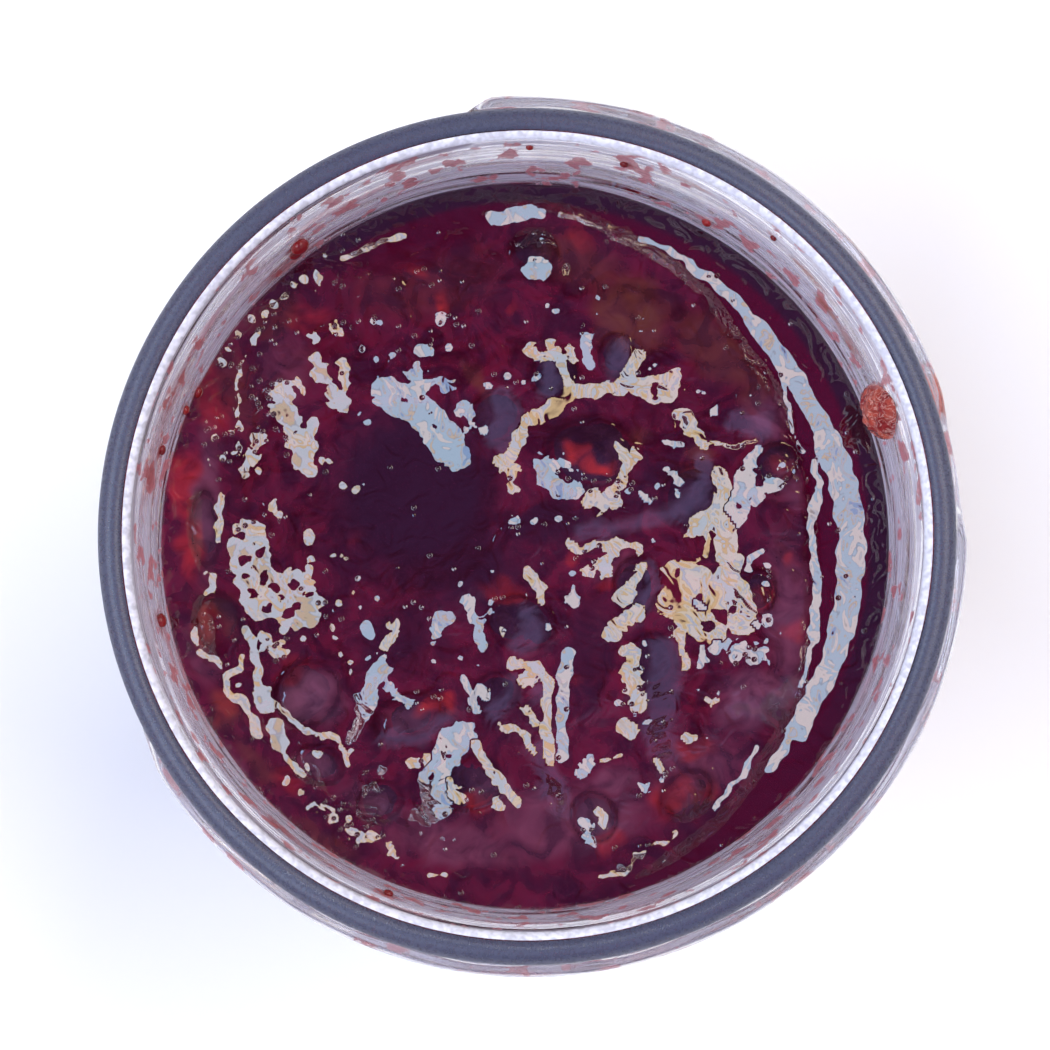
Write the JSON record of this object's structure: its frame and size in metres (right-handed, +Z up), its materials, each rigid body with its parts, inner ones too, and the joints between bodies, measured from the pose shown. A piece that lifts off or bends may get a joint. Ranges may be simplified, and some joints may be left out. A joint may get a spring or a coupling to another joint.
{
  "type": "jar of cranberry sauce",
  "caption": "Opened round glass jar with a screw-thread neck, holding whole-berry cranberry sauce to just below its neck.",
  "frame": {"origin": "centre of the jar's foot, on the surface that it stands on", "axes": "+Z up along the jar's axis, +Y away from the side that the sauce is looked at from, +X to the right"},
  "size_m": [0.084, 0.084, 0.098],
  "materials": {
    "clear_glass": "clear, polished, slightly blue-grey",
    "cranberry_sauce": "wet and glossy, very dark crimson",
    "berry_skin": "wet and glossy, dark purple red",
    "berry_pulp": "wet, translucent, bright red"
  },
  "bodies": {
    "root": {"glass_jar": "clear_glass", "sauce": "cranberry_sauce", "berry_01": "berry_skin", "berry_02": "berry_skin", "berry_03": "berry_skin", "berry_04": "berry_skin", "berry_05": "berry_skin", "berry_06": "berry_skin", "berry_07": "berry_skin", "berry_08": "berry_skin", "berry_09": "berry_skin", "berry_10": "berry_skin", "berry_11": "berry_skin", "berry_12": "berry_skin", "berry_13": "berry_skin", "berry_14": "berry_skin", "berry_15": "berry_skin", "berry_16": "berry_skin", "berry_17": "berry_skin", "berry_18": "berry_skin", "berry_19": "berry_skin", "berry_20": "berry_skin", "berry_21": "berry_skin", "pulp_clot": "berry_pulp"}
  },
  "joints": []
}
